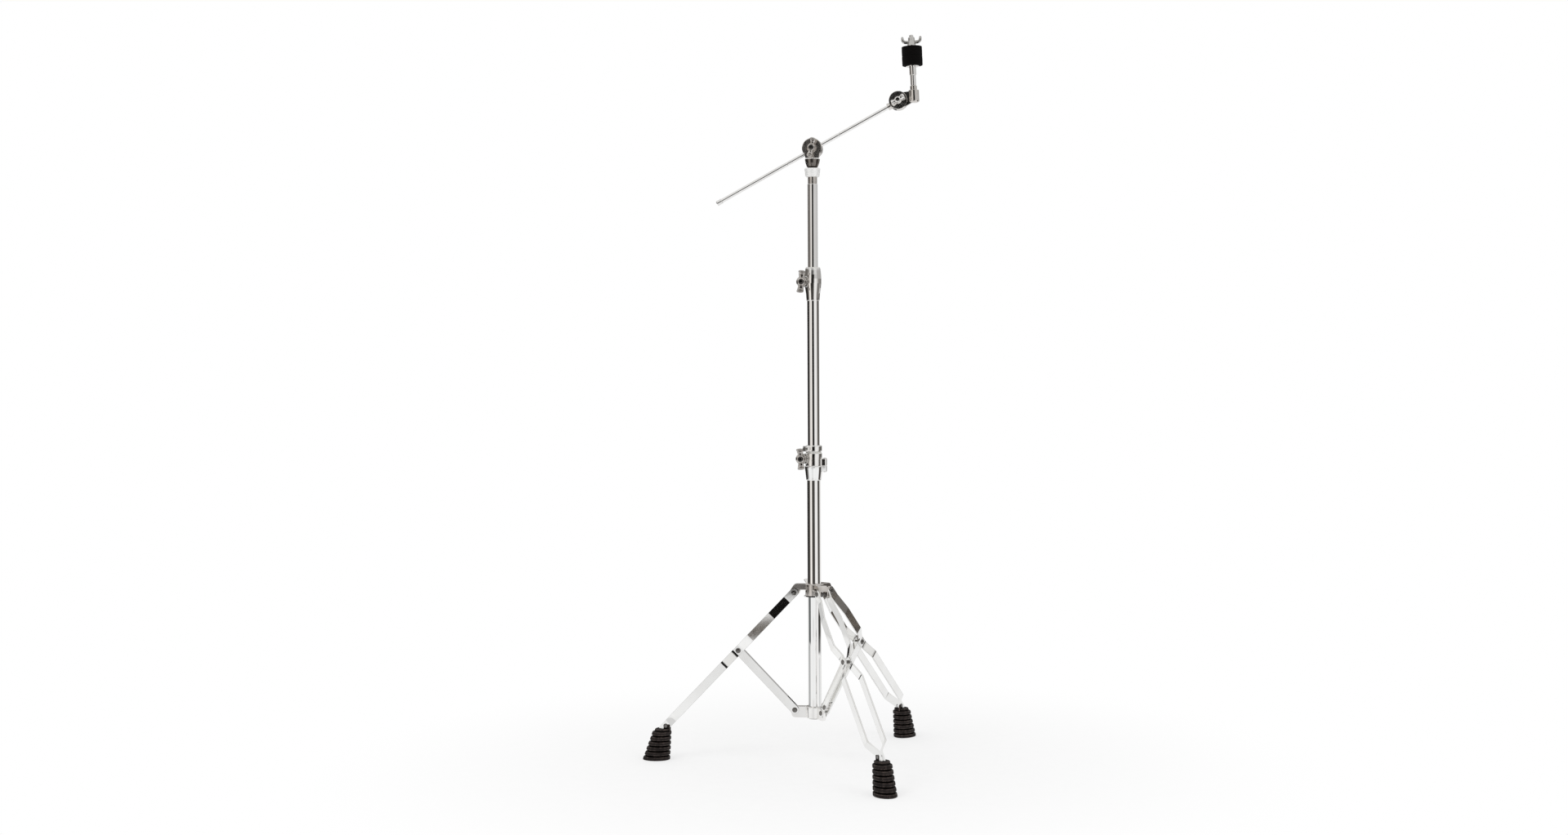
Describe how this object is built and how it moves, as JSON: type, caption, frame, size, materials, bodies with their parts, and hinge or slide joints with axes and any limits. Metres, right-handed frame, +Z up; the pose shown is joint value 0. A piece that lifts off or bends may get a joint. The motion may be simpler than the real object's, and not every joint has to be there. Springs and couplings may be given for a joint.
{
  "type": "cymbal boom stand",
  "caption": "Chrome cymbal stand with a folding double-braced tripod, telescoping column, counter-length boom on a tilter, and felts on a tilting top post.",
  "frame": {"origin": "on the floor, on the axis of the column, at the height of the undersides of the rubber feet", "axes": "+Z up the column; -X along leg a, the leg that opens away from the cymbal end of the boom; +X towards the cymbal end; the wing nuts of clamps and tilters face -Y"},
  "size_m": [0.5428, 0.5808, 1.379],
  "materials": {
    "chrome_tube": "bright nickel-chrome plate on drawn steel tube",
    "chrome_cast": "bright chrome plate on zinc casting",
    "chrome_strip": "chrome plate on rolled steel strip",
    "plated_hardware": "zinc and nickel plated fasteners",
    "rubber": "matt black moulded rubber",
    "felt": "dense black wool felt",
    "nylon": "black nylon"
  },
  "bodies": {
    "base": {"base_tube": "chrome_tube", "base_tube_plug": "nylon", "brace_collar": "chrome_cast", "brace_collar_pins": "plated_hardware", "brace_collar_rivet": "plated_hardware", "lower_clamp_body": "chrome_cast", "lower_clamp_hinge_pin": "plated_hardware", "lower_clamp_bolt": "plated_hardware"},
    "lower_jaw": {"lower_clamp_jaw": "chrome_cast"},
    "lower_washer": {"lower_clamp_washer": "plated_hardware"},
    "lower_nut": {"lower_clamp_wing_nut": "chrome_cast"},
    "lower_bush": {"lower_bush": "nylon"},
    "memory_lock": {"memory_lock": "chrome_cast", "memory_lock_bolt": "plated_hardware"},
    "middle": {"middle_tube": "chrome_tube", "upper_clamp_body": "chrome_cast", "upper_clamp_bolt": "plated_hardware"},
    "upper_washer": {"upper_clamp_washer": "plated_hardware"},
    "upper_nut": {"upper_clamp_wing_nut": "chrome_cast"},
    "upper_bush": {"upper_bush": "nylon"},
    "upper": {"upper_tube": "chrome_tube", "boom_tilter_base": "chrome_cast"},
    "boom_drum": {"boom_drum": "chrome_cast", "boom_eye_bolt": "plated_hardware"},
    "boom_washer": {"boom_tilter_washer": "plated_hardware"},
    "boom_nut": {"boom_tilter_wing_nut": "chrome_cast"},
    "boom_sleeve": {"boom_rod_sleeve": "nylon"},
    "boom": {"boom_rod": "chrome_tube", "boom_end_cap": "chrome_tube", "cymbal_tilter_hub": "chrome_cast", "cymbal_tilter_bolt": "plated_hardware"},
    "cymbal_tilter_washer": {"cymbal_tilter_washer": "plated_hardware"},
    "cymbal_tilter_nut": {"cymbal_tilter_wing_nut": "chrome_cast"},
    "arm": {"cymbal_arm": "chrome_cast", "cymbal_post": "chrome_tube", "cymbal_seat": "chrome_cast", "cymbal_sleeve": "nylon"},
    "felts": {"felt_lower": "felt", "felt_upper": "felt"},
    "cymbal_washer": {"cymbal_top_washer": "plated_hardware"},
    "cymbal_nut": {"cymbal_wing_nut": "chrome_cast"},
    "leg_collar": {"leg_collar": "chrome_cast", "leg_collar_pins": "plated_hardware"},
    "leg_collar_bolt": {"leg_collar_wing_bolt": "chrome_cast"},
    "leg_a": {"leg_a": "chrome_strip", "leg_a_rivets": "plated_hardware", "foot_a": "rubber"},
    "brace_a": {"brace_a": "chrome_strip", "brace_a_rivet_ends": "plated_hardware"},
    "leg_b": {"leg_b": "chrome_strip", "leg_b_rivets": "plated_hardware", "foot_b": "rubber"},
    "brace_b": {"brace_b": "chrome_strip", "brace_b_rivet_ends": "plated_hardware"},
    "leg_c": {"leg_c": "chrome_strip", "leg_c_rivets": "plated_hardware", "foot_c": "rubber"},
    "brace_c": {"brace_c": "chrome_strip", "brace_c_rivet_ends": "plated_hardware"}
  },
  "joints": [
    {"name": "leg_collar_slide", "type": "slide", "parent": "base", "child": "leg_collar", "axis": [0, 0, 1], "range_m": [0, 0.0863]},
    {"name": "leg_collar_bolt_spin", "type": "hinge", "parent": "leg_collar", "child": "leg_collar_bolt", "pos_m": [0, 0, 0.327], "axis": [-0.5, 0.866, 0], "range_deg": [0, 360]},
    {"name": "leg_a_hinge", "type": "hinge", "parent": "leg_collar", "child": "leg_a", "pos_m": [-0.038, 0, 0.3234], "axis": [0, -1, 0], "range_deg": [0, 40.2]},
    {"name": "brace_a_hinge", "type": "hinge", "parent": "leg_a", "child": "brace_a", "pos_m": [-0.14592, 0, 0.21145], "axis": [0, -1, 0], "range_deg": [-80.4, 0]},
    {"name": "leg_b_hinge", "type": "hinge", "parent": "leg_collar", "child": "leg_b", "pos_m": [0.019, -0.03291, 0.3234], "axis": [0.866, 0.5, 0], "range_deg": [0, 40.2]},
    {"name": "brace_b_hinge", "type": "hinge", "parent": "leg_b", "child": "brace_b", "pos_m": [0.07296, -0.12637, 0.21145], "axis": [0.866, 0.5, 0], "range_deg": [-80.4, 0]},
    {"name": "leg_c_hinge", "type": "hinge", "parent": "leg_collar", "child": "leg_c", "pos_m": [0.019, 0.03291, 0.3234], "axis": [-0.866, 0.5, 0], "range_deg": [0, 40.2]},
    {"name": "brace_c_hinge", "type": "hinge", "parent": "leg_c", "child": "brace_c", "pos_m": [0.07296, 0.12637, 0.21145], "axis": [-0.866, 0.5, 0], "range_deg": [-80.4, 0]},
    {"name": "lower_clamp_washer_slide", "type": "slide", "parent": "base", "child": "lower_washer", "axis": [0, -1, 0], "range_m": [0, 0.00375]},
    {"name": "lower_clamp_nut_spin", "type": "hinge", "parent": "lower_washer", "child": "lower_nut", "pos_m": [-0.023, 0, 0.577], "axis": [0, -1, 0], "range_deg": [0, 1081]},
    {"name": "lower_clamp_jaw_hinge", "type": "hinge", "parent": "base", "child": "lower_jaw", "pos_m": [0.021, 0, 0.57], "axis": [0, 0, 1], "range_deg": [0, 3.95]},
    {"name": "middle_swivel", "type": "hinge", "parent": "base", "child": "lower_bush", "pos_m": [0, 0, 0.574], "axis": [0, 0, 1], "continuous": true},
    {"name": "middle_tube_slide", "type": "slide", "parent": "lower_bush", "child": "middle", "axis": [0, 0, 1], "range_m": [-0.27, 0.11]},
    {"name": "memory_lock_slide", "type": "slide", "parent": "lower_bush", "child": "memory_lock", "axis": [0, 0, 1], "range_m": [0, 0.25]},
    {"name": "upper_clamp_washer_slide", "type": "slide", "parent": "middle", "child": "upper_washer", "axis": [0, -1, 0], "range_m": [0, 0.00375]},
    {"name": "upper_clamp_nut_spin", "type": "hinge", "parent": "upper_washer", "child": "upper_nut", "pos_m": [-0.02, 0, 0.913], "axis": [0, -1, 0], "range_deg": [0, 1081]},
    {"name": "upper_swivel", "type": "hinge", "parent": "middle", "child": "upper_bush", "pos_m": [0, 0, 0.921], "axis": [0, 0, 1], "continuous": true},
    {"name": "upper_tube_slide", "type": "slide", "parent": "upper_bush", "child": "upper", "axis": [0, 0, 1], "range_m": [-0.155, 0.14]},
    {"name": "boom_tilt", "type": "hinge", "parent": "upper", "child": "boom_drum", "pos_m": [0, 0, 1.1669], "axis": [0, -1, 0], "range_deg": [-75, 45]},
    {"name": "boom_tilter_washer_slide", "type": "slide", "parent": "boom_drum", "child": "boom_washer", "axis": [0, -1, 0], "range_m": [0, 0.00375]},
    {"name": "boom_tilter_nut_spin", "type": "hinge", "parent": "boom_washer", "child": "boom_nut", "pos_m": [0, 0, 1.1669], "axis": [0, -1, 0], "range_deg": [0, 1081]},
    {"name": "boom_roll", "type": "hinge", "parent": "boom_drum", "child": "boom_sleeve", "pos_m": [0, 0.018, 1.1669], "axis": [-0.8788, 0, -0.4772], "continuous": true},
    {"name": "boom_slide", "type": "slide", "parent": "boom_sleeve", "child": "boom", "axis": [0.8788, 0, 0.4772], "range_m": [-0.12, 0.15]},
    {"name": "cymbal_tilt", "type": "hinge", "parent": "boom", "child": "arm", "pos_m": [0.16328, 0, 1.25556], "axis": [0, -1, 0], "range_deg": [-80, 80]},
    {"name": "cymbal_tilter_washer_slide", "type": "slide", "parent": "boom", "child": "cymbal_tilter_washer", "axis": [0, -1, 0], "range_m": [0, 0.003]},
    {"name": "cymbal_tilter_nut_spin", "type": "hinge", "parent": "cymbal_tilter_washer", "child": "cymbal_tilter_nut", "pos_m": [0.16328, 0, 1.25556], "axis": [0, -1, 0], "range_deg": [0, 1081]},
    {"name": "felts_spin", "type": "hinge", "parent": "arm", "child": "felts", "pos_m": [0.19346, 0.006, 1.25677], "axis": [-0.0401, 0, 0.9992], "continuous": true},
    {"name": "cymbal_washer_slide", "type": "slide", "parent": "arm", "child": "cymbal_washer", "axis": [-0.0401, 0, 0.9992], "range_m": [0, 0.00375]},
    {"name": "cymbal_nut_spin", "type": "hinge", "parent": "cymbal_washer", "child": "cymbal_nut", "pos_m": [0.19346, 0.006, 1.25677], "axis": [-0.0401, 0, 0.9992], "range_deg": [0, 1081]}
  ],
  "couplings": [
    {"joint": "leg_a_hinge", "follows": "leg_collar_slide", "rad_per_m": 8.084},
    {"joint": "brace_a_hinge", "follows": "leg_collar_slide", "rad_per_m": -16.168},
    {"joint": "leg_b_hinge", "follows": "leg_collar_slide", "rad_per_m": 8.084},
    {"joint": "brace_b_hinge", "follows": "leg_collar_slide", "rad_per_m": -16.168},
    {"joint": "leg_c_hinge", "follows": "leg_collar_slide", "rad_per_m": 8.084},
    {"joint": "brace_c_hinge", "follows": "leg_collar_slide", "rad_per_m": -16.168},
    {"joint": "lower_clamp_nut_spin", "follows": "lower_clamp_washer_slide", "rad_per_m": 5026.5},
    {"joint": "lower_clamp_jaw_hinge", "follows": "lower_clamp_washer_slide", "rad_per_m": 18.151},
    {"joint": "upper_clamp_nut_spin", "follows": "upper_clamp_washer_slide", "rad_per_m": 5026.5},
    {"joint": "boom_tilter_nut_spin", "follows": "boom_tilter_washer_slide", "rad_per_m": 5026.5},
    {"joint": "cymbal_tilter_nut_spin", "follows": "cymbal_tilter_washer_slide", "rad_per_m": 6283.2},
    {"joint": "cymbal_nut_spin", "follows": "cymbal_washer_slide", "rad_per_m": 5026.5}
  ]
}
